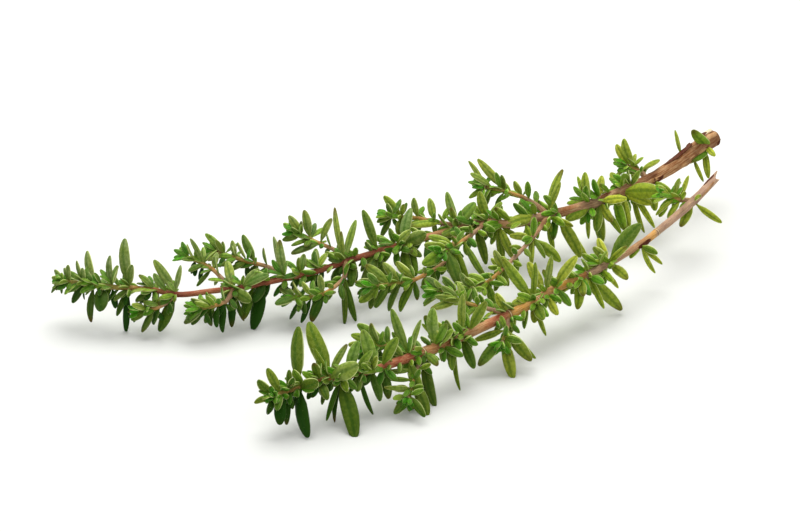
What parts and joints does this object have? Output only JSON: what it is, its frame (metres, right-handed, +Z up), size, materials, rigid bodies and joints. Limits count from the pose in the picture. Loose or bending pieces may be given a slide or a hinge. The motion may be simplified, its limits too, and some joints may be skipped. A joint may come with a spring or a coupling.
{
  "type": "thyme bundle",
  "caption": "Bundle of cut thyme sprigs lying side by side, with woody stems, leafy side shoots and small narrow leaves in clusters at the nodes.",
  "frame": {"origin": "bottom centre of the bounding box, on the surface that the sprigs lie on", "axes": "+X along the sprigs towards their cut ends, +Y from the front sprig towards the rear one, +Z up"},
  "size_m": [0.1558, 0.1159, 0.0208],
  "materials": {
    "leaf": "matte",
    "young_leaf": "matte",
    "bark": "matte",
    "young_bark": "satin"
  },
  "bodies": {
    "root": {"rear_stem": "leaf", "front_stem": "leaf", "rear_shoot_1": "young_leaf", "rear_shoot_2": "young_leaf", "rear_shoot_3": "young_leaf", "rear_shoot_4": "young_leaf", "rear_shoot_5": "young_leaf", "rear_shoot_6": "young_leaf", "rear_shoot_7": "young_leaf", "rear_shoot_8": "young_leaf", "rear_shoot_9": "young_leaf", "rear_shoot_10": "young_leaf", "rear_shoot_11": "young_leaf", "rear_shoot_12": "young_leaf", "front_shoot_1": "young_leaf", "front_shoot_2": "young_leaf", "front_shoot_3": "young_leaf", "front_shoot_4": "young_leaf", "front_shoot_5": "young_leaf"}
  },
  "joints": []
}
